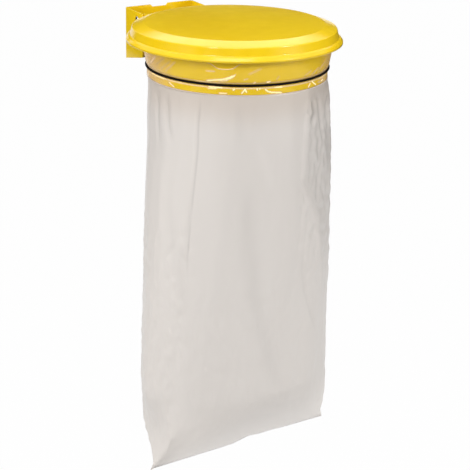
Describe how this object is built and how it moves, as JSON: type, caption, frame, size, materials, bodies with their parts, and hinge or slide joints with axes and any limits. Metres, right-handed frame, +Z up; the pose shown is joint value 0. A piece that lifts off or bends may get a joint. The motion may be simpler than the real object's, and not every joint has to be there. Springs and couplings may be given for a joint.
{
  "type": "bin bag holder",
  "caption": "Wall-mounted waste bag holder: folded steel bracket, conical ring, elastic strap, hanging film bag and a pressed lid that swings up on pivot pins.",
  "frame": {"origin": "centre of the rear face of the wall bracket's back plate", "axes": "+Y points into the wall, +Z up, the ring and the bag stand out along -Y, +X to the right for someone who faces the wall"},
  "size_m": [0.4585, 0.515, 0.9385],
  "materials": {
    "yellow_paint": "glossy golden yellow powder coat on steel sheet",
    "black_rubber": "smooth black elastic cord",
    "bag_film": "thin translucent grey polyethylene film with soft folds",
    "zinc": "bright zinc-plated steel",
    "nylon": "natural white nylon"
  },
  "bodies": {
    "holder": {"wall_bracket": "yellow_paint", "ring_tongue": "yellow_paint", "ring_saddle": "yellow_paint", "bag_ring": "yellow_paint", "elastic_strap": "black_rubber", "waste_bag": "bag_film", "pivot_pin_left": "zinc", "pivot_pin_right": "zinc", "pin_clip_left": "zinc", "pin_clip_right": "zinc", "hinge_washer_left": "nylon", "hinge_washer_right": "nylon", "saddle_bolt_left": "zinc", "saddle_bolt_right": "zinc", "saddle_washer_left": "zinc", "saddle_washer_right": "zinc", "saddle_nut_left": "zinc", "saddle_nut_right": "zinc"},
    "lid_assembly": {"lid": "yellow_paint", "lid_hinge": "yellow_paint", "lid_rivet_1": "yellow_paint", "lid_rivet_2": "yellow_paint", "lid_rivet_3": "yellow_paint", "lid_rivet_4": "yellow_paint"}
  },
  "joints": [
    {"name": "lid_hinge_axis", "type": "hinge", "parent": "holder", "child": "lid_assembly", "pos_m": [0, -0.051, 0.0391], "axis": [-1, 0, 0], "range_deg": [0, 90]}
  ]
}
